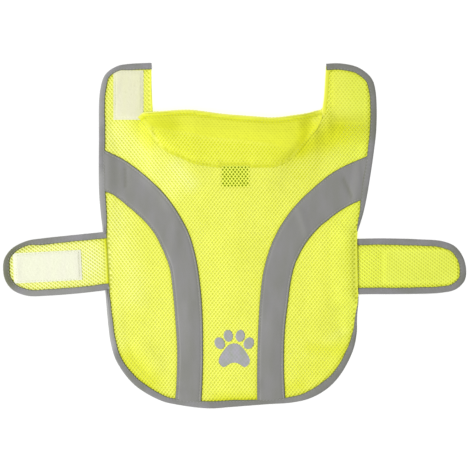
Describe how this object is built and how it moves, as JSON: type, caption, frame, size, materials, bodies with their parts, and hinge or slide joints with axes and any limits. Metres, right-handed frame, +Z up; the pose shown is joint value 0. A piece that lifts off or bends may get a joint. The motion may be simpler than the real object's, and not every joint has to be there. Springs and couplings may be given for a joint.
{
  "type": "reflective mesh dog vest (dog poncho)",
  "caption": "Small dog's hi-vis mesh poncho vest laid flat: curved back, neck straps, belly straps, folded collar, grey binding and reflective bands.",
  "frame": {"origin": "middle of the laid-out vest's box, on the surface it lies on", "axes": "+Z up, off the surface, outside of the vest up; +Y towards the neck; +X to the right, across the back"},
  "size_m": [0.4626, 0.3453, 0.017],
  "materials": {
    "mesh": "matt hi-vis yellow polyester mesh, staggered small holes along the body",
    "mesh_crosswise": "the same hi-vis yellow mesh cut crosswise",
    "mesh_double": "hi-vis yellow mesh folded double, smoother and deeper in colour",
    "reflective": "grey retroreflective fabric, satin, very fine grain",
    "binding": "matt grey woven binding tape, fine diagonal rib",
    "loop_pile": "pale yellow-white brushed loop pile",
    "hook_tape": "pale yellow-white hook tape, stiff fine hooks",
    "label": "matt dark woven label, bare",
    "print": "silver-grey reflective transfer film, satin"
  },
  "bodies": {
    "root": {"back_panel": "mesh", "belly_strap_left": "mesh_crosswise", "belly_strap_right": "mesh_crosswise", "collar": "mesh_double", "band_left": "reflective", "band_right": "reflective", "binding_neck_left": "binding", "binding_neck_right": "binding", "binding_hem": "binding", "binding_strap_left": "binding", "binding_strap_right": "binding", "pad_neck_left": "loop_pile", "pad_belly_left": "loop_pile", "pad_neck_right": "hook_tape", "pad_belly_right": "hook_tape", "label": "label", "paw_pad": "print", "paw_toe_1": "print", "paw_toe_2": "print", "paw_toe_3": "print", "paw_toe_4": "print"}
  },
  "joints": []
}
